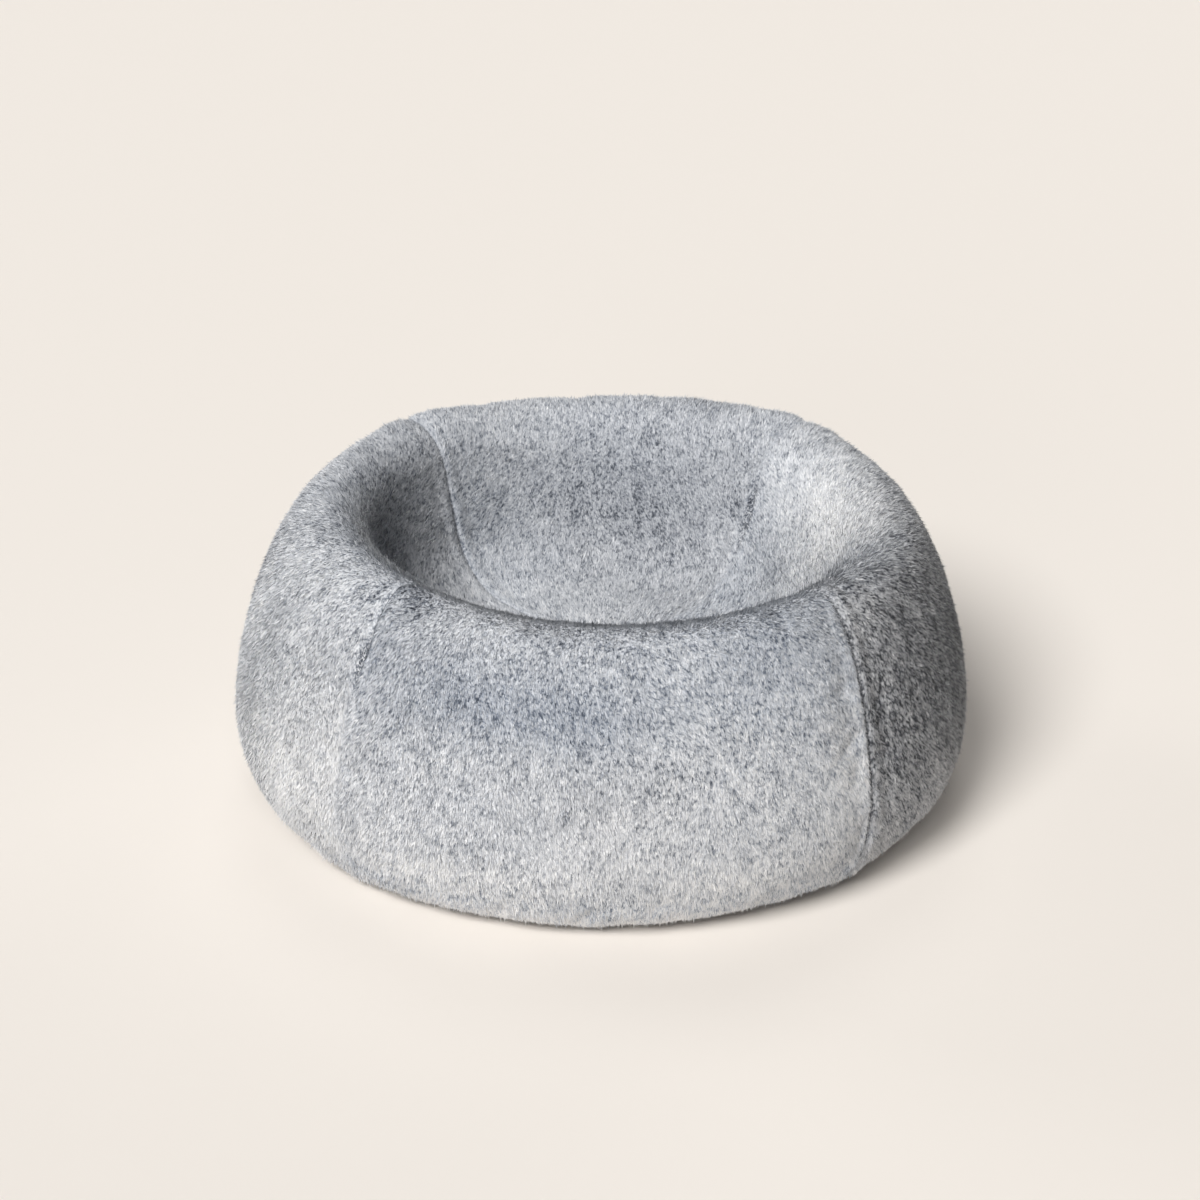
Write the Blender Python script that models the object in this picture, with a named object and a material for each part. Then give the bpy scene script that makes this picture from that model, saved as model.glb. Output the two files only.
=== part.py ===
"""A round filled nest bed for a cat: four sewn gore panels on a round base panel.

Metres, +Z up. The origin is on the floor under the middle of the nest, and the front is at -Y.
Azimuths are in degrees from the front, growing towards the right (+X). Each gore is one filled
solid: it runs from the base edge up the outside, over the rim and down to the middle of the hollow.
"""

import math
from collections import namedtuple

import bmesh
import bpy

# Base and outside
BASE_THICKNESS = 0.0025
BASE_INSET = 0.002  # how far the base panel's edge lies inside the gores' lower edge
GIRTH_HEIGHT = 0.068  # where the outside is widest
LOWER_POWER = 0.91  # superellipse powers: under 1 is squarer than an ellipse, over 1 flatter
SHOULDER_POWER = 1.23

# Rim and hollow
BOWL_ROUNDING = 0.050  # radius between the hollow's wall and its floor
FLOOR_HEIGHT = 0.100  # the hollow's floor, at its middle
FLOOR_DISH = 0.004  # how much higher the floor is where it meets the wall

# Seams
SEAM_DEPTH = 0.003  # how far the filled gores are drawn in along a seam
SEAM_HALF_WIDTH = 0.011
SEAM_FADE_HEIGHT = 0.030  # the drawing in fades out from here down to the base edge
PIECE_GAP = 0.0003

# Mesh steps
COLUMNS = 22  # across a gore, closer together near its seams
LOWER_STEPS = 9
SHOULDER_STEPS = 12
RIM_STEPS = 8
WALL_STEPS = 3
BOWL_STEPS = 6
FLOOR_STEPS = 3
BASE_SIDES = 72

PLUSH_COLOUR = (0.45, 0.465, 0.49, 1.0)
PLUSH_ROUGHNESS = 0.95
BASE_COLOUR = (0.20, 0.205, 0.215, 1.0)
BASE_ROUGHNESS = 0.9

# The soft form, uneven as filled cloth is: one row for each eighth of the way round.
# rim_rounding is the radius of the rim's inner shoulder, wall_slope the hollow wall's in degrees.
Station = namedtuple(
    "Station", "azimuth base_radius girth_radius rim_radius rim_height rim_rounding wall_slope"
)
STATIONS = (
    Station(0, 0.192, 0.248, 0.200, 0.207, 0.036, 72),
    Station(45, 0.197, 0.252, 0.204, 0.209, 0.040, 62),
    Station(90, 0.197, 0.252, 0.195, 0.209, 0.050, 56),
    Station(135, 0.196, 0.249, 0.194, 0.219, 0.048, 67),
    Station(180, 0.194, 0.249, 0.197, 0.214, 0.044, 70),
    Station(225, 0.194, 0.247, 0.193, 0.218, 0.040, 74),
    Station(270, 0.191, 0.252, 0.185, 0.215, 0.034, 80),
    Station(315, 0.200, 0.250, 0.184, 0.209, 0.034, 78),
)

# Each gore runs between two seams.
Gore = namedtuple("Gore", "name first_seam last_seam")
GORES = (
    Gore("panel_front", -43, 43),
    Gore("panel_right", 43, 132),
    Gore("panel_back", 132, 225),
    Gore("panel_left", 225, 317),
)


def clear_scene():
    for obj in list(bpy.data.objects):
        bpy.data.objects.remove(obj, do_unlink=True)


def station_value(column, azimuth):
    """A column of STATIONS at any azimuth, on a smooth closed curve through its rows."""
    count = len(STATIONS)
    place = azimuth / 360 * count
    row = math.floor(place)
    t = place - row
    before, here, after, beyond = (getattr(STATIONS[(row + k) % count], column) for k in (-1, 0, 1, 2))
    return here + 0.5 * t * (
        after - before
        + t * (2 * before - 5 * here + 4 * after - beyond + t * (3 * (here - after) + beyond - before))
    )


def quarter_turn(start, end, power, steps, leaves_along):
    """Points of a quarter superellipse from start towards end, without its last point.

    It leaves start along one axis, 0 for radius or 1 for height, and meets end along the other.
    """
    points = []
    for step in range(steps):
        angle = math.pi / 2 * step / steps
        shares = [1 - math.cos(angle) ** power, 1 - math.cos(angle) ** power]
        shares[leaves_along] = math.sin(angle) ** power
        points.append(tuple(a + (b - a) * share for a, b, share in zip(start, end, shares)))
    return points


def outside_profile(azimuth):
    """(radius, height) from the base edge up to the rim's crest."""
    base_edge = (station_value("base_radius", azimuth), BASE_THICKNESS + PIECE_GAP)
    widest = (station_value("girth_radius", azimuth), GIRTH_HEIGHT)
    crest = (station_value("rim_radius", azimuth), station_value("rim_height", azimuth))
    lower = quarter_turn(base_edge, widest, LOWER_POWER, LOWER_STEPS, leaves_along=0)
    shoulder = quarter_turn(widest, crest, SHOULDER_POWER, SHOULDER_STEPS, leaves_along=1)
    return lower + shoulder


def hollow_profile(azimuth):
    """(radius, height) from the rim's crest down the wall and along the floor to the axis."""
    radius = station_value("rim_radius", azimuth)
    height = station_value("rim_height", azimuth)
    rounding = station_value("rim_rounding", azimuth)
    slope = math.radians(station_value("wall_slope", azimuth))
    floor_edge_height = FLOOR_HEIGHT + FLOOR_DISH
    drop = height - floor_edge_height
    straight_drop = drop - (rounding + BOWL_ROUNDING) * (1 - math.cos(slope))
    straight_run = straight_drop / math.tan(slope)

    points = []
    for step in range(RIM_STEPS):
        angle = slope * step / RIM_STEPS
        points.append((radius - rounding * math.sin(angle), height - rounding * (1 - math.cos(angle))))
    wall_top = (radius - rounding * math.sin(slope), height - rounding * (1 - math.cos(slope)))
    for step in range(WALL_STEPS):
        share = step / WALL_STEPS
        points.append((wall_top[0] - straight_run * share, wall_top[1] - straight_drop * share))
    floor_edge = wall_top[0] - straight_run - BOWL_ROUNDING * math.sin(slope)
    for step in range(BOWL_STEPS):
        angle = slope * (1 - step / BOWL_STEPS)
        points.append(
            (
                floor_edge + BOWL_ROUNDING * math.sin(angle),
                floor_edge_height + BOWL_ROUNDING * (1 - math.cos(angle)),
            )
        )
    for step in range(FLOOR_STEPS):
        share = 1 - step / FLOOR_STEPS
        points.append((floor_edge * share, FLOOR_HEIGHT + FLOOR_DISH * share**2))
    points.append((0.0, FLOOR_HEIGHT))
    return points


def drawn_in(profile, degrees_to_seam):
    """The profile moved into the filling near a seam, and left alone at the base edge."""
    moved = [profile[0]]
    for index in range(1, len(profile)):
        radius, height = profile[index]
        before = profile[index - 1]
        after = profile[min(index + 1, len(profile) - 1)]
        run = after[0] - before[0]
        rise = after[1] - before[1]
        length = math.hypot(run, rise)
        distance = radius * math.radians(degrees_to_seam)
        depth = SEAM_DEPTH * math.exp(-((distance / SEAM_HALF_WIDTH) ** 2))
        if run > 0:
            depth *= min(1.0, height / SEAM_FADE_HEIGHT)
        inward = (-rise / length, run / length) if radius > 0 else (0.0, -1.0)
        moved.append((radius + depth * inward[0], height + depth * inward[1]))
    return moved


def place(radius, height, azimuth, shift):
    angle = math.radians(azimuth)
    return (radius * math.sin(angle) + shift[0], -radius * math.cos(angle) + shift[1], height)


def gore_azimuths(gore):
    """Azimuths across a gore, closer together near its two seams."""
    span = gore.last_seam - gore.first_seam
    return [
        gore.first_seam + span * (1 - math.cos(math.pi * column / COLUMNS)) / 2
        for column in range(COLUMNS + 1)
    ]


def gap_shift(gore):
    """How far a gore stands off the axis, so that its two seam faces keep half the gap each."""
    half_span = math.radians(gore.last_seam - gore.first_seam) / 2
    middle = math.radians(gore.first_seam + gore.last_seam) / 2
    length = PIECE_GAP / 2 / math.sin(half_span)
    return (length * math.sin(middle), -length * math.cos(middle))


def plush_material(name):
    return cloth_material(name, PLUSH_COLOUR, PLUSH_ROUGHNESS)


def base_material():
    return cloth_material("base_cloth", BASE_COLOUR, BASE_ROUGHNESS)


def cloth_material(name, colour, roughness):
    material = bpy.data.materials.new(name)
    material.use_nodes = True
    shader = material.node_tree.nodes["Principled BSDF"]
    shader.inputs["Base Color"].default_value = colour
    shader.inputs["Roughness"].default_value = roughness
    shader.inputs["Metallic"].default_value = 0.0
    return material


def add_object(name, mesh_builder, material):
    """Links a bmesh as an object with outward normals, shaded smooth but for its sharp edges."""
    bmesh.ops.recalc_face_normals(mesh_builder, faces=mesh_builder.faces)
    mesh = bpy.data.meshes.new(name)
    mesh_builder.to_mesh(mesh)
    mesh_builder.free()
    mesh.shade_smooth()
    mesh.set_sharp_from_angle(angle=math.radians(50))
    mesh.materials.append(material)
    obj = bpy.data.objects.new(name, mesh)
    bpy.context.scene.collection.objects.link(obj)
    return obj


def make_gore(gore):
    """One filled quarter of the nest: its skin, two flat seam faces and a flat underside."""
    shift = gap_shift(gore)
    builder = bmesh.new()
    columns = []
    for azimuth in gore_azimuths(gore):
        to_seam = min(azimuth - gore.first_seam, gore.last_seam - azimuth)
        profile = drawn_in(outside_profile(azimuth) + hollow_profile(azimuth), to_seam)
        columns.append([builder.verts.new(place(r, z, azimuth, shift)) for r, z in profile[:-1]])
    hollow_middle = builder.verts.new(place(*profile[-1], 0, shift))
    base_middle = builder.verts.new(place(0, BASE_THICKNESS + PIECE_GAP, 0, shift))

    for left, right in zip(columns, columns[1:]):
        for step in range(len(left) - 1):
            builder.faces.new((left[step], right[step], right[step + 1], left[step + 1]))
        builder.faces.new((left[-1], right[-1], hollow_middle))
    builder.faces.new([base_middle, *(column[0] for column in columns)])
    for column in (columns[0], columns[-1]):
        builder.faces.new([base_middle, *column, hollow_middle])
    return add_object(gore.name, builder, plush_material(gore.name + "_plush"))


def make_base():
    """The thin round panel that the gores' lower edges are sewn to, flat on the floor."""
    builder = bmesh.new()
    ring = []
    for side in range(BASE_SIDES):
        azimuth = 360 * side / BASE_SIDES
        radius = station_value("base_radius", azimuth) - BASE_INSET
        ring.append(builder.verts.new(place(radius, 0, azimuth, (0, 0))))
    underside = builder.faces.new(ring)
    extruded = bmesh.ops.extrude_face_region(builder, geom=[underside], use_keep_orig=True)
    raised = [item for item in extruded["geom"] if isinstance(item, bmesh.types.BMVert)]
    bmesh.ops.translate(builder, verts=raised, vec=(0, 0, BASE_THICKNESS))
    return add_object("base_panel", builder, base_material())


def main():
    clear_scene()
    for gore in GORES:
        make_gore(gore)
    make_base()


main()
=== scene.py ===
"""Round nest bed in short heathered plush: four filled panels round a hollow, sewn together along
meridians and closed below by a cloth base. Each panel is a padded skin with its pile on it.
Lengths are metres. Azimuths are radians from the front (-Y), positive towards +X."""

import itertools
import math

import bpy
import numpy as np
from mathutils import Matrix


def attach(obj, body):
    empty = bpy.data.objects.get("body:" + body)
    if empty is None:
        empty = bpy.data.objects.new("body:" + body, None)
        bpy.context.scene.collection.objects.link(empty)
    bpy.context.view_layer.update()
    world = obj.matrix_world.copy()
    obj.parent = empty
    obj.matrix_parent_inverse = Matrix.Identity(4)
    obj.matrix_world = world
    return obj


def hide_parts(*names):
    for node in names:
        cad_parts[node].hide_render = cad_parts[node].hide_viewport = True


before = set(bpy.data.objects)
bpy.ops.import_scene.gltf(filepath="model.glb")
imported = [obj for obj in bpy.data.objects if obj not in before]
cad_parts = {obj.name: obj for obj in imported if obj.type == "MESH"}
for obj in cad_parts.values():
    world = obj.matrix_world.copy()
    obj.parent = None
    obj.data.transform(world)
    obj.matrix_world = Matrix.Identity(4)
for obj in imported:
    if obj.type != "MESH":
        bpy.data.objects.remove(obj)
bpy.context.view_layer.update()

PANELS = ("front", "right", "back", "left")
CAD_COLUMNS = 23
PROFILE_CENTRE = (0.165, 0.07)  # radius and height that every column of a panel turns round
MIDDLE_RADIUS = 0.002  # how near the hollow's middle the panels run

# A row is a distance up a panel's profile: from the base, out and over the rim, to the hollow's
# middle. A drift below is a slow change, given as how much and over what size.
SKIN_COLUMNS = 96
SKIN_ROWS = 122
EDGE_CROWDING = 0.86  # how much a skin's columns crowd towards its seams: 0 is not at all
SKIN_INSET = 0.0024  # how far the skin lies inside the CAD surface, so the pile's tips reach it
SKIN_SHARP = 60  # degrees
SKIN_DRIFT = (0.0007, 0.055)
BASE_TOP = 0.0028
BASE_REACH = 0.202  # no part of the base cloth lies further out than this
BASE_BLEND = 0.008  # over which the panels come down from the base cloth's top to the floor
SAG_ROW = 0.022  # where the filling's weight presses the panel's underside to the floor
SAG_REACH = 0.024
SAG_DEPTH = 0.0025
SAG_MORE = {"front": (1, 14, 0.0030), "left": (-54, 13, 0.0018)}  # azimuth and reach in degrees
SAG_LOWEST = 0.0012

CREASE_DEPTH = 0.0024
CREASE_WIDTH = 0.0012
RIM_SOFTENING = 0.6  # how much shallower a crease is where it crosses the rim
ROLL_HEIGHT = 0.0004  # of the roll of plush to each side of a seam
ROLL_PLACE = 0.0060
ROLL_WIDTH = 0.0030
SEAM_FILL_WIDTH = 0.009
SLIT = 1.0  # how much wider a seam is for each step of strength that a place adds
SEAM_FADE = 0.035  # over which the seams come in from the base
MIDDLE_FADE = 0.06  # over which they go out towards the hollow's middle
RIM_ROW = 0.255
RIM_REACH = 0.045

CLOTH_COLUMNS = 73
CLOTH_ROWS = 115
CLOTH_CROWDING = 0.35
CLOTH_START = 0.0028  # how far inside the CAD surface the cloth starts
CLOTH_PRESSURE = 4
CLOTH_EASE = 0.015  # how much longer the cloth is cut than the seams that hold it
CLOTH_FRAMES = 20
CLOTH_CAP = 0.0045  # the pressure moves no cloth further than this
FILL_ROWS = (-0.02, 0.05)  # over which the filling comes in from the base
HOLLOW_ROWS = (0.235, 0.290)  # over which the rim turns down into the hollow
HOLLOW_HOLD = 0.35  # how firmly the cloth is held there
HOLLOW_FLATTER = 0.5  # how much less of the filling shows there

BLADES = 199000
BLADE_LENGTH = (0.0027, 0.0044)
BLADE_WIDTH = 0.00090
BLADE_WIDTHS = (0.8, 1.2)  # the narrowest and the widest, as shares of that
BLADE_LEAN = (50, 76)  # degrees away from upright
BLADE_ROLL = 0.5  # how far blades turn about their own length, in radians
BLADE_ROOT = 0.0004  # how deep the blades are set into the skin
LEAN_DRIFT = (0.12, 0.020)
LENGTH_DRIFT = (0.15, 0.018)
VEER_DRIFTS = ((0.45, 0.045), (0.2, 0.012))
VEER = 0.30  # how far single blades turn aside as they lie, in radians
STRAY_SHARE = 0.06  # of the blades, which are longer and stand up more
STRAY_LENGTH = 1.3
STRAY_LIFT = 0.25
HEM_LIFT = 0.35  # how much more upright the pile stands along the floor
HEM_REACH = 0.04
STRAND = 0.5  # how far a blade's colour runs on along it: 1 is as far as the blade
SHADING = (0.7, 0.3)  # how much a blade is shaded as the skin is, and as its own face
TUFT = (0.0026, 0.0036)  # across and along the panel
TUFT_PULL = 0.22
TUFT_TABLE = 64  # after so many tufts their places repeat
TUFT_NUMBERS = 997  # after so many, their tones
# Painted shade down the seam lines: how much the tone drops there, and over what width.
SEAM_SHADE = -0.48
SEAM_SHADE_WIDTH = 0.0013
SHADE_FADE = 0.05  # over which the seams' shade goes out towards the hollow's middle
SEAM_QUIET = (0.003, 0.6)  # how near a seam the heather fades, and how much
SEAM_CALM = 0.0035  # how near a seam the pile lies straighter and shorter
CALMEST = 0.45
CALM_RADIUS = 0.08  # nearer than this to the hollow's middle, the seams calm less of the pile
LEAST_CALM = 0.1
MIDDLE_SWIRL = (0.030, 1.6)  # how near the hollow's middle the pile lies every way, and how much
FLOOR_CLEARANCE = 0.0004
MAP_MARGIN = 0.005

# The two seams of each panel, in the order of its azimuths.
EDGES = {
    "front": ("left_front", "front_right"),
    "right": ("front_right", "right_back"),
    "back": ("right_back", "back_left"),
    "left": ("back_left", "left_front"),
}
# How deep a seam's crease is and how dark its painted shade, everywhere, and how much more round
# some rows, each with its reach.
# How far the filling stands up beside it, and how far more where it crosses the rim, over a width
# to either side. How many degrees it runs to the right of the solids' edge.
SEAMS = {
    "left_front": {
        "strength": 0.45,
        "places": ((0.202, 0.016, 1.4),),
        "fill": 0.0030,
        "rim_fill": (0.0022, 0.009),
        "shift": 0,
    },
    "front_right": {
        "strength": 1.0,
        "places": (),
        "fill": 0.0042,
        "rim_fill": (0.0022, 0.009),
        "shift": 0.6,
    },
    "right_back": {
        "strength": 0.35,
        "places": ((0.340, 0.022, 1.5),),
        "fill": 0.0030,
        "rim_fill": (0.0040, 0.030),
        "shift": 0,
    },
    "back_left": {
        "strength": 0.35,
        "places": ((0.350, 0.030, 0.3),),
        "fill": 0.0030,
        "rim_fill": (0.0040, 0.030),
        "shift": 0,
    },
}
# Dimples: azimuth in degrees, row, reach in degrees, reach in metres, and depth, which is negative
# for a bulge.
DENTS = {
    "front": ((-38, 0.242, 3.5, 0.010, 0.0024),),
    "back": ((170, 0.258, 26, 0.045, -0.0018),),
}

BASE_SIDES = 240
BASE_LEAST = 0.1  # the base's rim lies further out than this
BASE_CORE = 0.4  # the share of its radius at which a ring divides its flat faces
BASE_ROUNDING = (-60, -30, 0, 30, 60)  # degrees round its edge
BASE_SHARP = 50  # degrees
HEM_WIDTH = 0.012
HEM_DEPTH = 0.0004
HEM_EDGE = ((0.0015, 1), (0, 0.7), (-0.0012, 0))  # how far past its width, and share of its depth

BASE_TONE = 0.65
BASE_BLUE = 0.36
BLUE_DRIFT = (0.15, 0.090)
SPECK_DRIFT = (0.2, 0.040)
CLOUD = 0.045
CLOUD_SIZES = ((0.060, 1.0), (0.024, 0.8), (0.010, 0.6))  # each with its share
STREAK = 0.012
STREAK_SIZE = (0.0035, 0.015)  # across and along the panel
TUFT_TONE = 0.035
BLADE_TONE = 0.09
# Where the tone differs, partly as the heather's own clouds and partly as painted light and shade,
# marked below: azimuth in degrees, row, reach in degrees, reach in metres, then the change of
# tone, of blueness and of the strength of its specks.
HEATHER_AND_PAINTED_LIGHT = {
    "front": (
        (0, 0.20, 60, 0.035, -0.07, 0.15, 0),
        (-20, 0.19, 10, 0.022, -0.14, 0.15, -0.05),
        (-3, 0.18, 10, 0.020, -0.13, 0.15, 0),
        (-15, 0.12, 9, 0.030, -0.08, 0.05, -0.1),
        (22, 0.16, 16, 0.050, 0.05, 0, 0.3),
        (30, 0.09, 14, 0.040, 0.11, 0, 0.1),
        (0, 0.09, 70, 0.040, 0.04, 0, 0.05),
        (40, 0.13, 5, 0.060, 0.11, 0, 0),
        (-27, 0.070, 13, 0.014, 0.13, 0, 0),
        (22, 0.070, 13, 0.014, 0.11, 0, 0),
        # painted light along the bottom, where little light reaches: lighter, and bluer against the
        # warm light thrown up from the floor
        (0, 0.048, 60, 0.014, 0.08, 0.55, 0.3),
        (0, 0.02, 60, 0.025, 0.36, 0.55, 0.5),
        # painted shade in and beside the dimple at the top of the left-front seam
        (-42, 0.250, 3.5, 0.008, -0.22, 0, 0.8),
        (-37, 0.243, 4, 0.009, -0.16, 0, 0.8),
    ),
    "right": (
        # painted shade on the right panel's outside, which is turned away from the light: darker
        # and less blue
        (64, 0.17, 32, 0.075, -0.32, -0.8, 2.0),
        (106, 0.14, 26, 0.075, -0.22, -0.5, 0.9),
        # painted light on the right panel's inner wall, which faces the light
        (90, 0.30, 28, 0.046, 0.26, -0.05, -0.3),
        (80, 0.20, 15, 0.050, -0.05, 0, 0.2),
        # painted shade in the pucker where the right-back seam runs down into the hollow
        (129, 0.335, 6, 0.016, -0.08, 0, 0.4),
    ),
    "back": (
        (155, 0.30, 30, 0.060, -0.09, 0, -0.25),
        (170, 0.36, 30, 0.050, -0.22, -0.1, 0),
        # painted shade in the pucker where the right-back seam runs down into the hollow
        (136, 0.335, 6, 0.016, -0.10, 0, 0.6),
    ),
    "left": (
        (-58, 0.12, 30, 0.075, 0.19, -0.1, -0.3),
        # painted light on the left rim's top
        (-62, 0.24, 30, 0.030, 0.09, 0, 0.3),
        # painted shade beside the dimple at the top of the left-front seam
        (-46, 0.250, 3, 0.008, -0.12, 0, 0.6),
        # painted shade on the left inner wall, which faces away from the light
        (-100, 0.30, 40, 0.050, -0.16, 0, 0),
    ),
}
# Where the pile turns aside as it lies down the outside: azimuth in degrees, row, reach in degrees,
# reach in metres, and how far it turns, in radians to the right as one faces the panel.
LIES = {
    "front": (
        (-30, 0.16, 18, 0.060, 0.50),
        (-5, 0.20, 22, 0.030, 0.50),
        (28, 0.13, 22, 0.060, -0.25),
    ),
    "right": ((62, 0.15, 30, 0.090, -0.35),),
    "left": ((-62, 0.14, 30, 0.070, 0.80),),
}

NOISE_TABLE = 32


def smooth_noise(points, size, seed):
    """Smooth noise from about -1 to 1 at points of any dimension, with features one size long."""
    at = points / size
    low = np.floor(at).astype(int)
    part = at - low
    part = part * part * (3 - 2 * part)
    dimensions = points.shape[-1]
    table = np.random.default_rng(seed).uniform(-1, 1, (NOISE_TABLE,) * dimensions)
    total = 0
    for corner in itertools.product((0, 1), repeat=dimensions):
        weight = np.where(corner, part, 1 - part).prod(-1)
        total = total + weight * table[tuple(np.moveaxis((low + corner) % NOISE_TABLE, -1, 0))]
    return total


def drift(points, slow, seed):
    """A slow change over points."""
    much, size = slow
    return much * smooth_noise(points, size, seed)


def bell(far, reach):
    """1 at no distance, and less and less over a reach."""
    return np.exp(-((far / reach) ** 2))


def spline(knots, values, at):
    """Natural cubic spline through values, along their first axis."""
    count = len(knots)
    step = np.diff(knots)
    flat = values.reshape(count, -1)
    slopes = np.diff(flat, axis=0) / step[:, None]
    matrix = np.eye(count)
    for i in range(1, count - 1):
        matrix[i, i - 1 : i + 2] = step[i - 1], 2 * (step[i - 1] + step[i]), step[i]
    target = np.zeros_like(flat)
    target[1:-1] = 6 * np.diff(slopes, axis=0)
    bend = np.linalg.solve(matrix, target)
    i = np.clip(np.searchsorted(knots, at, side="right") - 1, 0, count - 2)
    width = step[i][:, None]
    after = (at - knots[i])[:, None]
    before = width - after
    found = (bend[i] * before**3 + bend[i + 1] * after**3) / (6 * width)
    found += (flat[i] / width - bend[i] * width / 6) * before
    found += (flat[i + 1] / width - bend[i + 1] * width / 6) * after
    return found.reshape(len(at), *values.shape[1:])


def mesh_points(node):
    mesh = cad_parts[node].data
    points = np.empty(len(mesh.vertices) * 3, np.float32)
    mesh.vertices.foreach_get("co", points)
    return np.unique(points.reshape(-1, 3).astype(float), axis=0)


def azimuth_of(x, y):
    return np.arctan2(x, -y)


def half_turns(azimuth):
    """The same azimuth from -pi to pi."""
    return (azimuth + math.pi) % (2 * math.pi) - math.pi


class Panel:
    """One panel's outer surface, from its CAD solid: radius and height over azimuth and row."""

    def __init__(self, name):
        self.name = name
        points = mesh_points("panel_" + name)
        order = np.argsort(np.hypot(points[:, 0], points[:, 1]))
        middles = points[order[:2]]
        points = points[order[2:]]
        self.middle = middles[middles[:, 2].argmax()]
        offset = points[:, :2] - self.middle[:2]
        self.facing = float(azimuth_of(*offset.mean(0)))
        azimuth = half_turns(azimuth_of(offset[:, 0], offset[:, 1]) - self.facing)
        by_column = np.argsort(azimuth).reshape(CAD_COLUMNS, -1)
        self.azimuths = azimuth[by_column].mean(1)
        assert np.ptp(azimuth[by_column], axis=1).max() < 1e-3
        radius = np.hypot(offset[:, 0], offset[:, 1])[by_column]
        height = points[:, 2][by_column]
        turn = np.arctan2(height - PROFILE_CENTRE[1], radius - PROFILE_CENTRE[0])
        by_row = np.argsort(turn, axis=1)
        last = np.full(CAD_COLUMNS, MIDDLE_RADIUS), np.full(CAD_COLUMNS, self.middle[2])
        self.radius = np.column_stack([np.take_along_axis(radius, by_row, 1), last[0]])
        self.height = np.column_stack([np.take_along_axis(height, by_row, 1), last[1]])
        steps = np.hypot(np.diff(self.radius, axis=1), np.diff(self.height, axis=1))
        self.rows = np.concatenate([[0], np.cumsum(steps.mean(0))])
        shifts = np.radians([SEAMS[seam]["shift"] for seam in EDGES[name]])
        self.edges = self.azimuths[[0, -1]] + shifts

    def radius_of(self, points):
        """How far points are from the upright line through the hollow's middle."""
        return np.hypot(points[..., 0] - self.middle[0], points[..., 1] - self.middle[1])

    def around(self, azimuth, radius, height):
        """Points at these azimuths, radii and heights round the hollow's middle."""
        x = self.middle[0] + radius * np.sin(azimuth)
        y = self.middle[1] - radius * np.cos(azimuth)
        return np.stack([x, y, height], -1)

    def surface(self, columns, rows):
        """Points at these azimuths from the panel's own middle and these rows."""
        profile = np.stack([self.radius, self.height], -1)
        profile = spline(self.azimuths, profile, columns)
        profile = spline(self.rows, profile.swapaxes(0, 1), rows).swapaxes(0, 1)
        return self.around(columns[:, None] + self.facing, profile[..., 0], profile[..., 1])

    def grid(self, columns, rows, crowding=EDGE_CROWDING, last=-1):
        """Azimuths crowded towards the two seams, and evenly spaced rows."""
        even = np.linspace(-1, 1, columns)
        crowded = np.sin(even * math.pi / 2)
        spread = crowding * crowded + (1 - crowding) * even
        low, high = self.edges
        azimuths = (low + high) / 2 + spread * (high - low) / 2
        return azimuths, np.linspace(0, self.rows[last], rows)


def unit(vectors):
    return vectors / np.maximum(np.linalg.norm(vectors, axis=-1, keepdims=True), 1e-12)


def frames_of(points):
    """Outward normal and the direction up the profile at each point of a grid."""
    across = np.gradient(points, axis=0)
    along = np.gradient(points, axis=1)
    return unit(np.cross(across, along)), unit(along)


def smooth_step(low, high, at):
    share = np.clip((at - low) / (high - low), 0, 1)
    return share * share * (3 - 2 * share)


def make_cloth(name, panel):
    """The panel's cloth before it is filled, held at its seams, at the base and in the hollow."""
    columns, rows = panel.grid(CLOTH_COLUMNS, CLOTH_ROWS, CLOTH_CROWDING, last=-2)
    points = panel.surface(columns, rows)
    normal, _ = frames_of(points)
    start = inside_seams(panel, points - normal * CLOTH_START)
    cloth = add_closed("cloth_" + name, panel, start, bpy.data.materials.new("cloth"))
    in_hollow = smooth_step(*HOLLOW_ROWS, rows)[None, :]
    held = np.repeat(HOLLOW_HOLD * in_hollow, CLOTH_COLUMNS, 0)
    held[[0, -1]] = 1
    held[:, [0, -1]] = 1
    group = cloth.vertex_groups.new(name="held")
    for index, weight in enumerate([*held.ravel().tolist(), 1, 1]):
        if weight:
            group.add([index], weight, "REPLACE")
    fill = cloth.modifiers.new("fill", "CLOTH")
    fill.settings.use_pressure = True
    fill.settings.uniform_pressure_force = CLOTH_PRESSURE
    fill.settings.effector_weights.gravity = 0
    fill.settings.vertex_group_mass = "held"
    fill.settings.shrink_min = -CLOTH_EASE
    fill.settings.shrink_max = -CLOTH_EASE
    fill.collision_settings.use_collision = False
    fill.point_cache.frame_end = CLOTH_FRAMES
    return cloth, columns, rows, start


def filled_cloth(panels):
    """How far pressure moves each panel's cloth, and the grid on which that is known."""
    cloths = {name: make_cloth(name, panel) for name, panel in panels.items()}
    for frame_number in range(1, CLOTH_FRAMES + 1):
        bpy.context.scene.frame_set(frame_number)
    graph = bpy.context.evaluated_depsgraph_get()
    found = {}
    for name, (cloth, columns, rows, start) in cloths.items():
        moved = cloth.evaluated_get(graph).to_mesh()
        points = np.empty(len(moved.vertices) * 3, np.float32)
        moved.vertices.foreach_get("co", points)
        move = points[: start.size].reshape(start.shape) - start
        far = np.linalg.norm(move, axis=-1, keepdims=True)
        move *= CLOTH_CAP * np.tanh(far / CLOTH_CAP) / np.maximum(far, 1e-9)
        found[name] = columns, rows, move
        bpy.data.objects.remove(cloth)
    bpy.context.scene.frame_set(1)
    return found


def seam_strength(seam, rows):
    """How deep a seam's crease is and how dark its painted shade at these rows, and how wide."""
    everywhere = SEAMS[seam]["strength"]
    strength = np.full(np.shape(rows), float(everywhere))
    for row, reach, more in SEAMS[seam]["places"]:
        strength += more * bell(rows - row, reach)
    return strength, 1 + SLIT * (strength - everywhere)


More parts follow.
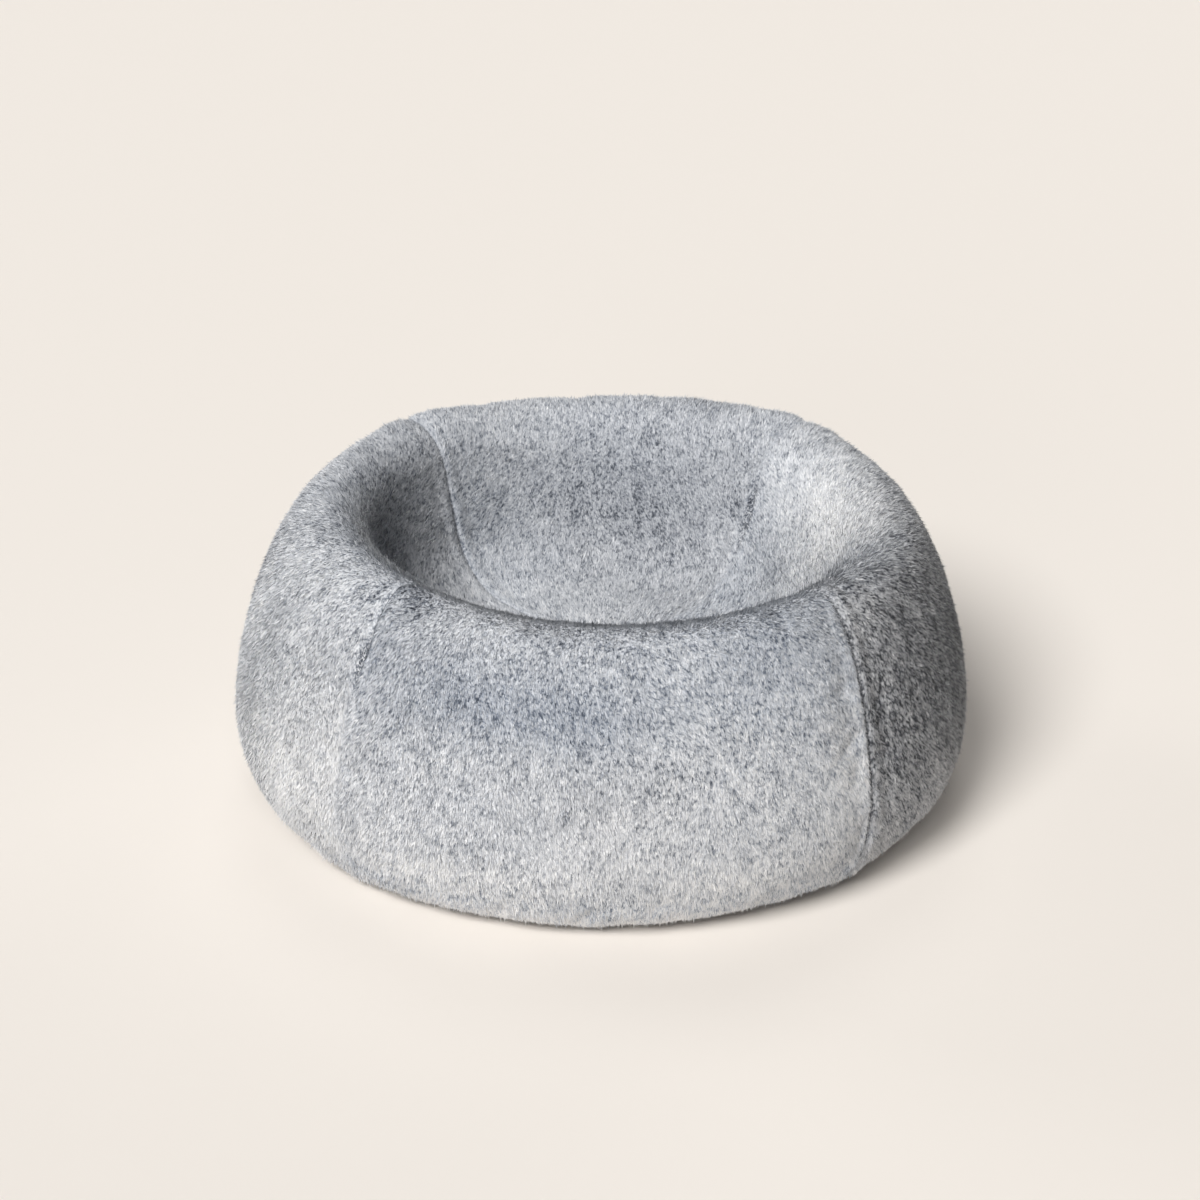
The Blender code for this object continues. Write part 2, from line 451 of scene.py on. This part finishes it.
def padded_surface(panel, filled, columns, rows, seed):
    """The skin under the pile: the CAD surface filled by the cloth, with its seams drawn in."""
    points = panel.surface(columns, rows)
    normal, _ = frames_of(points)
    radius = panel.radius_of(points)
    azimuths = np.degrees(columns + panel.facing)
    fade = smooth_step(0, SEAM_FADE, rows) * smooth_step(0, MIDDLE_FADE, panel.rows[-1] - rows)
    rim = bell(rows - RIM_ROW, RIM_REACH)
    middle, wide, more = SAG_MORE.get(panel.name, (0, 1, 0))
    sag = SAG_DEPTH + more * bell(azimuths - middle, wide)
    move = sag[:, None] * bell(rows - SAG_ROW, SAG_REACH) - SKIN_INSET
    for seam, edge in zip(EDGES[panel.name], panel.edges):
        rim_fill, rim_width = SEAMS[seam]["rim_fill"]
        far = radius * np.abs(columns - edge)[:, None]
        strength, wide = seam_strength(seam, rows)
        crease = CREASE_DEPTH * fade * (1 - RIM_SOFTENING * rim) * strength
        move -= crease * bell(far, CREASE_WIDTH * wide)
        move += fade * ROLL_HEIGHT * bell(far - ROLL_PLACE, ROLL_WIDTH)
        move += SEAMS[seam]["fill"] * fade * (1 - rim) * bell(far, SEAM_FILL_WIDTH)
        move += rim_fill * rim * bell(far, rim_width)
    for azimuth, row, wide, tall, depth in DENTS.get(panel.name, ()):
        across = (azimuths - azimuth) / wide
        move -= depth * np.exp(-(across[:, None] ** 2) - ((rows - row) / tall) ** 2)
    move += drift(points, SKIN_DRIFT, seed + 20)
    if filled:
        cloth_columns, cloth_rows, filling = filled
        filling = spline(cloth_columns, filling, columns)
        within = np.minimum(rows, cloth_rows[-1])
        filling = spline(cloth_rows, filling.swapaxes(0, 1), within).swapaxes(0, 1)
        flatter = 1 - HOLLOW_FLATTER * smooth_step(*HOLLOW_ROWS, rows)
        weight = smooth_step(*FILL_ROWS, rows) * flatter
        points = points + (filling - CLOTH_START * normal) * weight[None, :, None]
    return inside_seams(panel, points + normal * move[..., None])


def inside_seams(panel, points):
    """Keeps points between the panel's two seam planes and above the base cloth or the floor."""
    x, y = points[..., 0] - panel.middle[0], points[..., 1] - panel.middle[1]
    radius = np.hypot(x, y)
    azimuth = np.clip(half_turns(azimuth_of(x, y) - panel.facing), *panel.edges) + panel.facing
    outside = smooth_step(BASE_REACH, BASE_REACH + BASE_BLEND, radius)
    height = np.maximum(points[..., 2], BASE_TOP + (SAG_LOWEST - BASE_TOP) * outside)
    height[:, 0] = BASE_TOP
    return panel.around(azimuth, radius, height)


def add_mesh(name, points, faces, material):
    mesh = bpy.data.meshes.new(name)
    mesh.from_pydata(points.tolist(), [], faces)
    mesh.update()
    mesh.materials.append(material)
    obj = bpy.data.objects.new(name, mesh)
    bpy.context.scene.collection.objects.link(obj)
    return obj


def closed_faces(columns, rows):
    """Faces of a grid of points closed at the hollow's middle, along both seams and underneath.
    The two points after the grid's are the hollow's middle and the base's."""
    index = np.arange(columns * rows).reshape(columns, rows)
    quads = np.stack([index[:-1, :-1], index[1:, :-1], index[1:, 1:], index[:-1, 1:]], -1)
    faces = quads.reshape(-1, 4).tolist()
    top, bottom = columns * rows, columns * rows + 1
    faces += [[int(a), int(b), top] for a, b in zip(index[:-1, -1], index[1:, -1])]
    faces.append([*index[0].tolist(), top, bottom])
    faces.append([bottom, top, *index[-1, ::-1].tolist()])
    faces.append([bottom, *index[::-1, 0].tolist()])
    return faces


def add_closed(name, panel, points, material):
    """A grid of points as one closed body."""
    ends = [[*panel.middle[:2], points[:, -1, 2].mean()], [*panel.middle[:2], BASE_TOP]]
    every = np.concatenate([points.reshape(-1, 3), ends])
    return add_mesh(name, every, closed_faces(*points.shape[:2]), material)


def spots(table, panel, azimuth, row):
    """The table's spots on a panel: how much of each a point has, and what the spot brings."""
    for middle, middle_row, wide, tall, *brings in table.get(panel.name, ()):
        across = (np.degrees(azimuth + panel.facing) - middle + 180) % 360 - 180
        yield np.exp(-((across / wide) ** 2) - ((row - middle_row) / tall) ** 2), brings


def heather_and_painted_light(panel, points, azimuth, row, seed):
    """Tone, blueness and strength of the specks at points of a panel: the heather's own clouds and
    streaks, with the painted light and shade of the table's spots.
    """
    tone = BASE_TONE
    for number, (size, share) in enumerate(CLOUD_SIZES):
        tone = tone + CLOUD * share * smooth_noise(points, size, seed + 7 + 10 * number)
    blue = BASE_BLUE + drift(points, BLUE_DRIFT, seed + 9)
    speck = 1 + drift(points, SPECK_DRIFT, seed + 10)
    for spot, (lighter, bluer, stronger) in spots(HEATHER_AND_PAINTED_LIGHT, panel, azimuth, row):
        tone = tone + lighter * spot
        blue = blue + bluer * spot
        speck = speck + stronger * spot
    place = np.stack(np.broadcast_arrays(panel.radius_of(points) * azimuth, row), -1)
    tone = tone + STREAK * speck**2 * smooth_noise(place, np.array(STREAK_SIZE), seed + 11)
    return {"tone": tone, "blue": blue, "speck": speck}


def give(mesh, values, strand):
    """Gives each point its values, and the place at which the fibres' noise is read for it."""
    for name, value in values.items():
        mesh.attributes.new(name, "FLOAT", "POINT").data.foreach_set("value", value.ravel())
    places = mesh.attributes.new("strand", "FLOAT_VECTOR", "POINT")
    places.data.foreach_set("vector", strand.ravel())


def make_skin(panel, points, columns, rows, seed, material):
    """The padded piece that stands for the panel."""
    name = panel.name
    skin = add_closed("plush_" + name, panel, points, material)
    found = heather_and_painted_light(panel, points, columns[:, None], rows[None, :], seed)
    found = {key: np.append(value, value[0, [-1, 0]]) for key, value in found.items()}
    give(skin.data, found, np.concatenate([points.reshape(-1, 3), points[0, [-1, 0]]]))
    skin.data.polygons.foreach_set("use_smooth", [True] * len(skin.data.polygons))
    skin.data.set_sharp_from_angle(angle=math.radians(SKIN_SHARP))
    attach(skin, "root")
    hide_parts("panel_" + name)


def scatter(points, count, rng):
    """Places spread evenly over a grid of points: each one's cell and its two shares of it."""
    corner, beside = points[:-1, :-1], points[1:, :-1]
    above, opposite = points[:-1, 1:], points[1:, 1:]
    area = np.linalg.norm(np.cross(beside - corner, above - corner), axis=-1)
    area += np.linalg.norm(np.cross(opposite - beside, opposite - above), axis=-1)
    total = np.cumsum(area.ravel())
    at = (np.arange(count) + rng.random(count)) / count * total[-1]
    cell = np.minimum(np.searchsorted(total, at), area.size - 1)
    return np.unravel_index(cell, area.shape), rng.random(count), rng.random(count)


def blend_cells(values, cell, u, v):
    """Values of a grid at shares u and v of cells."""
    i, j = cell
    shape = (-1,) + (1,) * (values.ndim - 2)
    u, v = u.reshape(shape), v.reshape(shape)
    low = values[i, j] * (1 - u) + values[i + 1, j] * u
    high = values[i, j + 1] * (1 - u) + values[i + 1, j + 1] * u
    return low * (1 - v) + high * v


def nearest_tuft(place, seed):
    """The middle and number of the tuft nearest each place on the unrolled panel."""
    size = np.array(TUFT)
    cell = np.floor(place / size).astype(int)
    jitter = np.random.default_rng(seed).random((TUFT_TABLE, TUFT_TABLE, 2))
    best = np.full(len(place), np.inf)
    centre = np.zeros_like(place)
    number = np.zeros(len(place), int)
    for step in itertools.product((-1, 0, 1), repeat=2):
        near = cell + step
        key = near % TUFT_TABLE
        middle = (near + jitter[key[:, 0], key[:, 1]]) * size
        far = (((middle - place) / size) ** 2).sum(1)
        closer = far < best
        best[closer] = far[closer]
        centre[closer] = middle[closer]
        across, along = (near[closer] % TUFT_NUMBERS).T
        number[closer] = across * TUFT_NUMBERS + along
    return centre, number


def make_pile(panel, points, columns, rows, seed, material):
    """Pile as joined single blades that lie down the outside, tipped together in small tufts."""
    rng = np.random.default_rng(seed)
    normals, ups = frames_of(points)
    cell, u, v = scatter(points, BLADES, rng)
    root = blend_cells(points, cell, u, v)
    normal = unit(blend_cells(normals, cell, u, v))
    up = unit(blend_cells(ups, cell, u, v))
    side = unit(np.cross(up, normal))
    radius = panel.radius_of(root)
    column = columns[cell[0]] * (1 - u) + columns[cell[0] + 1] * u
    row = rows[cell[1]] * (1 - v) + rows[cell[1] + 1] * v
    place = np.stack([radius * column, row], -1)
    centre, tuft = nearest_tuft(place, seed + 1)

    to_seams = radius * np.abs(column - panel.edges[:, None])
    calm = np.ones(BLADES)
    reach = SEAM_CALM * np.clip(radius / CALM_RADIUS, LEAST_CALM, 1)
    for seam, far in zip(EDGES[panel.name], to_seams):
        calm = np.minimum(calm, far / (reach * seam_strength(seam, row)[1]))
    calm = CALMEST + (1 - CALMEST) * calm

    veer = drift(root, VEER_DRIFTS[0], seed + 2) + drift(root, VEER_DRIFTS[1], seed + 3)
    veer += rng.normal(0, VEER, BLADES)
    for spot, (turn,) in spots(LIES, panel, column, row):
        veer += turn * spot
    swirl_reach, swirl = MIDDLE_SWIRL
    veer += swirl * rng.normal(0, 1, BLADES) * bell(radius, swirl_reach)
    veer *= calm
    low, high = np.radians(BLADE_LEAN)
    lean = rng.uniform(low, high, BLADES) + drift(root, LEAN_DRIFT, seed + 4)
    lean -= HEM_LIFT * bell(row, HEM_REACH)
    length = rng.uniform(*BLADE_LENGTH, BLADES) * (1 + drift(root, LENGTH_DRIFT, seed + 5))
    stray = calm * (rng.random(BLADES) < STRAY_SHARE)
    lean -= STRAY_LIFT * stray
    length *= calm * (1 + (STRAY_LENGTH - 1) * stray)

    flat = -np.cos(veer)[:, None] * up + np.sin(veer)[:, None] * side
    along = np.cos(lean)[:, None] * normal + np.sin(lean)[:, None] * flat
    tip = root + along * length[:, None]
    pull = (centre - place) * TUFT_PULL * calm[:, None]
    tip += side * pull[:, :1] + up * pull[:, 1:]
    tip[:, 2] = np.maximum(tip[:, 2], FLOOR_CLEARANCE)
    lying = STRAND * ((tip - root) - ((tip - root) * normal).sum(1)[:, None] * normal)
    roll = rng.normal(0, BLADE_ROLL, BLADES)
    across = unit(np.cross(along, normal))
    across = np.cos(roll)[:, None] * across + np.sin(roll)[:, None] * np.cross(along, across)
    half = across * (BLADE_WIDTH / 2) * rng.uniform(*BLADE_WIDTHS, BLADES)[:, None]
    corners = np.stack([root - half, root + half, tip], 1)
    corners[:, :2] -= (normal * BLADE_ROOT)[:, None]
    strand = np.stack([root - half, root + half, root + lying], 1)

    found = heather_and_painted_light(panel, root, column, row, seed)
    tufts = np.random.default_rng(seed + 6).normal(0, 1, TUFT_NUMBERS**2)[tuft]
    quiet_reach, quiet = SEAM_QUIET
    heathered = 1 - quiet * bell(to_seams.min(0), quiet_reach)
    found["tone"] += heathered * (TUFT_TONE * tufts + rng.normal(0, BLADE_TONE, BLADES))
    found["speck"] *= heathered
    fade = smooth_step(0, SHADE_FADE, panel.rows[-1] - row)
    # painted shade down each seam line, where the crease lies in shade
    for seam, far in zip(EDGES[panel.name], to_seams):
        strength, wide = seam_strength(seam, row)
        found["tone"] += SEAM_SHADE * strength * fade * bell(far, SEAM_SHADE_WIDTH * wide)
    aside = np.stack([side, up], 1)
    ends = place[:, None] + np.einsum("bij,bkj->bki", aside, strand - root[:, None])
    add_blades("pile_" + panel.name, corners, normal, found, strand, ends, material)


def add_blades(name, corners, normal, values, strand, places, material):
    """A mesh of separate triangles, shaded much as the skin, with a map of the unrolled panel."""
    count = len(corners)
    facing = np.cross(corners[:, 1] - corners[:, 0], corners[:, 2] - corners[:, 0])
    turned = (facing * normal).sum(1) < 0
    for pair in (corners, strand, places):
        pair[turned, 0], pair[turned, 1] = pair[turned, 1], pair[turned, 0].copy()
    facing = unit(np.where(turned[:, None], -facing, facing))
    mesh = bpy.data.meshes.new(name)
    mesh.vertices.add(count * 3)
    mesh.vertices.foreach_set("co", corners.astype(np.float32).ravel())
    mesh.loops.add(count * 3)
    mesh.loops.foreach_set("vertex_index", np.arange(count * 3, dtype=np.int32))
    mesh.polygons.add(count)
    mesh.polygons.foreach_set("loop_start", np.arange(0, count * 3, 3, dtype=np.int32))
    mesh.update()
    give(mesh, {key: np.repeat(value, 3) for key, value in values.items()}, strand)
    low, high = places.min((0, 1)), places.max((0, 1))
    mapped = MAP_MARGIN + (1 - 2 * MAP_MARGIN) * (places - low) / (high - low)
    layer = mesh.uv_layers.new(name="OFBake")
    layer.uv.foreach_set("vector", mapped.astype(np.float32).ravel())
    shading = unit(SHADING[0] * normal + SHADING[1] * facing)
    mesh.normals_split_custom_set(np.repeat(shading, 3, axis=0).tolist())
    mesh.materials.append(material)
    obj = bpy.data.objects.new(name, mesh)
    bpy.context.scene.collection.objects.link(obj)
    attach(obj, "root")


class Nodes:
    """A material and a short way to add its nodes."""

    def __init__(self, name):
        self.material = bpy.data.materials.new(name)
        self.material.use_nodes = True
        self.tree = self.material.node_tree
        self.shader = self.tree.nodes["Principled BSDF"]

    def add(self, kind, **values):
        node = self.tree.nodes.new(kind)
        for key, value in values.items():
            if key in node.inputs:
                node.inputs[key].default_value = value
            else:
                setattr(node, key, value)
        return node

    def join(self, source, output, target, into):
        self.tree.links.new(source.outputs[output], target.inputs[into])

    def ramp(self, stops, linear_light=False):
        node = self.add("ShaderNodeValToRGB")
        elements = node.color_ramp.elements
        while len(elements) < len(stops):
            elements.new(0.5)
        for element, (position, colour) in zip(elements, stops):
            element.position = position
            element.color = (*colour, 1.0) if linear_light else linear(colour)
        return node


def linear(colour):
    """An sRGB colour of 0 to 255 as linear light, with alpha 1."""
    share = np.array(colour) / 255
    light = np.where(share <= 0.04045, share / 12.92, ((share + 0.055) / 1.055) ** 2.4)
    return (*light.tolist(), 1.0)


GREY_HEATHER = (
    (0.0, (64, 66, 71)),
    (0.25, (117, 119, 123)),
    (0.5, (174, 175, 178)),
    (0.75, (214, 214, 215)),
    (1.0, (243, 242, 240)),
)
BLUE_HEATHER = (
    (0.0, (58, 69, 88)),
    (0.25, (107, 120, 139)),
    (0.5, (168, 176, 188)),
    (0.75, (212, 216, 222)),
    (1.0, (242, 242, 243)),
)

# How the heather's noise turns into specks: most of it changes little, and its low end is dark.
SPECKS = ((0.33, 0.0), (0.42, 0.42), (0.47, 0.70), (0.51, 0.80), (0.60, 0.93), (0.68, 1.0))
SPECK_RANGE = (-0.42, 0.11)
CLUMPS = 0.24  # how much the fibres' noise follows a wider one

MIX_FACTOR, MIX_A, MIX_B, MIX_RESULT = 0, 6, 7, 2  # sockets of a Mix node of colours


def plush_material(name):
    """Heathered plush: light fibres with dark specks, on the tone that each point carries."""
    made = Nodes(name)
    shader = made.shader
    shader.inputs["Roughness"].default_value = 0.85
    shader.inputs["Specular IOR Level"].default_value = 0.2
    shader.inputs["Sheen Weight"].default_value = 0.30
    shader.inputs["Sheen Roughness"].default_value = 0.4
    place = made.add("ShaderNodeAttribute", attribute_name="strand")
    fibres = made.add("ShaderNodeTexNoise", Scale=530.0, Detail=3.0, Roughness=0.65)
    clumps = made.add("ShaderNodeTexNoise", Scale=130.0, Detail=1.0)
    made.join(place, "Vector", fibres, "Vector")
    made.join(place, "Vector", clumps, "Vector")
    mixed = made.add("ShaderNodeMath", operation="MULTIPLY_ADD")
    mixed.inputs[1].default_value = CLUMPS
    made.join(clumps, "Fac", mixed, 0)
    made.join(fibres, "Fac", mixed, 2)
    stops = [(at + CLUMPS / 2, (share,) * 3) for at, share in SPECKS]
    specks = made.ramp(stops, linear_light=True)
    made.join(mixed, "Value", specks, "Fac")
    change = made.add("ShaderNodeMapRange")
    change.inputs["To Min"].default_value, change.inputs["To Max"].default_value = SPECK_RANGE
    made.join(specks, "Color", change, "Value")
    toned = made.add("ShaderNodeMath", operation="MULTIPLY_ADD")
    for socket, key in enumerate(("speck", "tone")):
        carried = made.add("ShaderNodeAttribute", attribute_name=key)
        made.join(carried, "Fac", toned, 2 * socket)
    made.join(change, "Result", toned, 1)
    both = made.add("ShaderNodeMix", data_type="RGBA")
    for socket, colours in ((MIX_A, GREY_HEATHER), (MIX_B, BLUE_HEATHER)):
        heathered = made.ramp(colours)
        made.join(toned, "Value", heathered, "Fac")
        made.join(heathered, "Color", both, socket)
    blue = made.add("ShaderNodeAttribute", attribute_name="blue")
    made.join(blue, "Fac", both, MIX_FACTOR)
    made.join(both, MIX_RESULT, shader, "Base Color")
    return made, fibres


def pile_material():
    return plush_material("plush_pile")[0].material


def skin_material():
    """The plush under the blades, with its fibres in relief."""
    made, fibres = plush_material("plush_ground")
    bump = made.add("ShaderNodeBump", Strength=0.6, Distance=0.001)
    made.join(fibres, "Fac", bump, "Height")
    made.join(bump, "Normal", made.shader, "Normal")
    return made.material


def cloth_material():
    """Plain grey canvas: two crossed sets of threads, with slubs."""
    made = Nodes("base_canvas")
    shader = made.shader
    shader.inputs["Roughness"].default_value = 0.88
    shader.inputs["Specular IOR Level"].default_value = 0.25
    shader.inputs["Sheen Weight"].default_value = 0.1
    place = made.add("ShaderNodeTexCoord")
    weave = made.add("ShaderNodeMath", operation="MULTIPLY")
    for socket, direction in enumerate(("X", "Y")):
        threads = made.add("ShaderNodeTexWave", bands_direction=direction, Scale=260.0)
        threads.inputs["Distortion"].default_value = 0.6
        threads.inputs["Detail Scale"].default_value = 40.0
        made.join(place, "Object", threads, "Vector")
        made.join(threads, "Fac", weave, socket)
    slub = made.add("ShaderNodeTexNoise", Scale=45.0, Detail=4.0)
    made.join(place, "Object", slub, "Vector")
    both = made.add("ShaderNodeMath", operation="ADD")
    made.join(weave, "Value", both, 0)
    made.join(slub, "Fac", both, 1)
    colour = made.ramp([(0.35, (98, 101, 107)), (1.0, (158, 161, 166))])
    made.join(both, "Value", colour, "Fac")
    made.join(colour, "Color", shader, "Base Color")
    bump = made.add("ShaderNodeBump", Strength=0.5, Distance=0.0004)
    made.join(weave, "Value", bump, "Height")
    made.join(bump, "Normal", shader, "Normal")
    return made.material


STUDIO_COLOUR = (0.88, 0.823, 0.76, 1)


def floor_material():
    made = Nodes("floor_paint")
    made.shader.inputs["Base Color"].default_value = STUDIO_COLOUR
    made.shader.inputs["Roughness"].default_value = 1.0
    made.shader.inputs["Specular IOR Level"].default_value = 0.0
    return made.material


def make_base(material):
    """The base cloth: a flat disc that stands on a turned hem, with a softly rounded edge."""
    points = mesh_points("base_panel")
    thick = points[:, 2].max()
    rim = points[points[:, 2] < thick / 2]
    rim = rim[np.hypot(rim[:, 0], rim[:, 1]) > BASE_LEAST]
    rim = rim[np.argsort(azimuth_of(rim[:, 0], rim[:, 1]))]
    azimuth = azimuth_of(rim[:, 0], rim[:, 1])
    knots = np.concatenate([azimuth[-3:] - 2 * math.pi, azimuth, azimuth[:3] + 2 * math.pi])
    again = np.arange(-3, len(rim) + 3) % len(rim)
    at = np.linspace(-math.pi, math.pi, BASE_SIDES, endpoint=False)
    radius = spline(knots, np.hypot(rim[:, 0], rim[:, 1])[again], at)

    rounding = thick / 2
    profile = [(HEM_WIDTH + past, HEM_DEPTH * share) for past, share in HEM_EDGE]
    profile.append((rounding, 0.0))
    for turn in np.radians(BASE_ROUNDING):
        profile.append((rounding * (1 - math.cos(turn)), rounding * (1 + math.sin(turn))))
    profile.append((rounding, thick))
    rings = [(BASE_CORE, 0, HEM_DEPTH)]
    rings += [(1, inset, height) for inset, height in profile]
    rings += [(BASE_CORE, 0, thick)]
    grid = []
    for share, inset, height in rings:
        far = radius * share - inset
        ring = [far * np.sin(at), -far * np.cos(at), np.full(BASE_SIDES, height)]
        grid.append(np.stack(ring, -1))
    points = np.concatenate([*grid, [[0, 0, HEM_DEPTH], [0, 0, thick]]])
    index = np.arange(len(grid) * BASE_SIDES).reshape(len(grid), BASE_SIDES)
    after = np.roll(index, -1, axis=1)
    faces = np.stack([index[:-1], after[:-1], after[1:], index[1:]], -1).reshape(-1, 4).tolist()
    low, high = len(points) - 2, len(points) - 1
    faces += [[low, int(b), int(a)] for a, b in zip(index[0], after[0])]
    faces += [[high, int(a), int(b)] for a, b in zip(index[-1], after[-1])]
    base = add_mesh("base_cloth", points, faces, material)
    base.data.polygons.foreach_set("use_smooth", [True] * len(faces))
    base.data.set_sharp_from_angle(angle=math.radians(BASE_SHARP))
    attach(base, "root")
    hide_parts("base_panel")


pile = pile_material()
ground = skin_material()
panels = {name: Panel(name) for name in PANELS}
filled = filled_cloth(panels)
for number, (name, panel) in enumerate(panels.items()):
    columns, rows = panel.grid(SKIN_COLUMNS, SKIN_ROWS)
    seed = 100 * (number + 1)
    points = padded_surface(panel, filled.get(name), columns, rows, seed)
    make_skin(panel, points, columns, rows, seed + 50, ground)
    make_pile(panel, points, columns, rows, seed + 50, pile)

make_base(cloth_material())

FLOOR_SIZE = 24
bpy.ops.mesh.primitive_plane_add(size=FLOOR_SIZE)
floor = bpy.context.object
floor.name = "floor"
floor.data.materials.append(floor_material())

ELEVATION = math.radians(25)
DISTANCE = 1.8
TARGET_HEIGHT = 0.1
LENS = 78.3
SENSOR = 36
SHIFT = (-0.00075, 0.03725)
camera = bpy.data.objects.new("camera", bpy.data.cameras.new("camera"))
bpy.context.scene.collection.objects.link(camera)
camera.location = (
    0,
    -DISTANCE * math.cos(ELEVATION),
    TARGET_HEIGHT + DISTANCE * math.sin(ELEVATION),
)
camera.rotation_euler = (math.pi / 2 - ELEVATION, 0, 0)
camera.data.lens = LENS
camera.data.sensor_width = SENSOR
camera.data.shift_x, camera.data.shift_y = SHIFT
bpy.context.scene.camera = camera

# Azimuth and height in degrees towards each light, and its strength.
LIGHTS = {
    "key": (330, 42, 3.15),
    "fill": (0, 42, 0.757),
    "front": (340, 8, 0.434),
    "top": (180, 60, 0.29),
    "left": (240, 8, 0.868),
    "right": (150, 8, 0.578),
}
LIGHT_ANGLE = 24  # degrees across each light, which softens its shadows
for name, (azimuth, height, strength) in LIGHTS.items():
    light = bpy.data.objects.new(name, bpy.data.lights.new(name, "SUN"))
    light.data.energy = strength
    light.data.angle = math.radians(LIGHT_ANGLE)
    light.rotation_euler = (math.radians(90 - height), 0, math.radians(azimuth))
    bpy.context.scene.collection.objects.link(light)

world = bpy.data.worlds.new("studio")
bpy.context.scene.world = world
world.use_nodes = True
backdrop = world.node_tree.nodes["Background"]
backdrop.inputs["Color"].default_value = STUDIO_COLOUR
# The backdrop is seen but gives no light.
seen = world.node_tree.nodes.new("ShaderNodeLightPath")
world.node_tree.links.new(seen.outputs["Is Camera Ray"], backdrop.inputs["Strength"])
bpy.context.scene.view_settings.view_transform = "Standard"
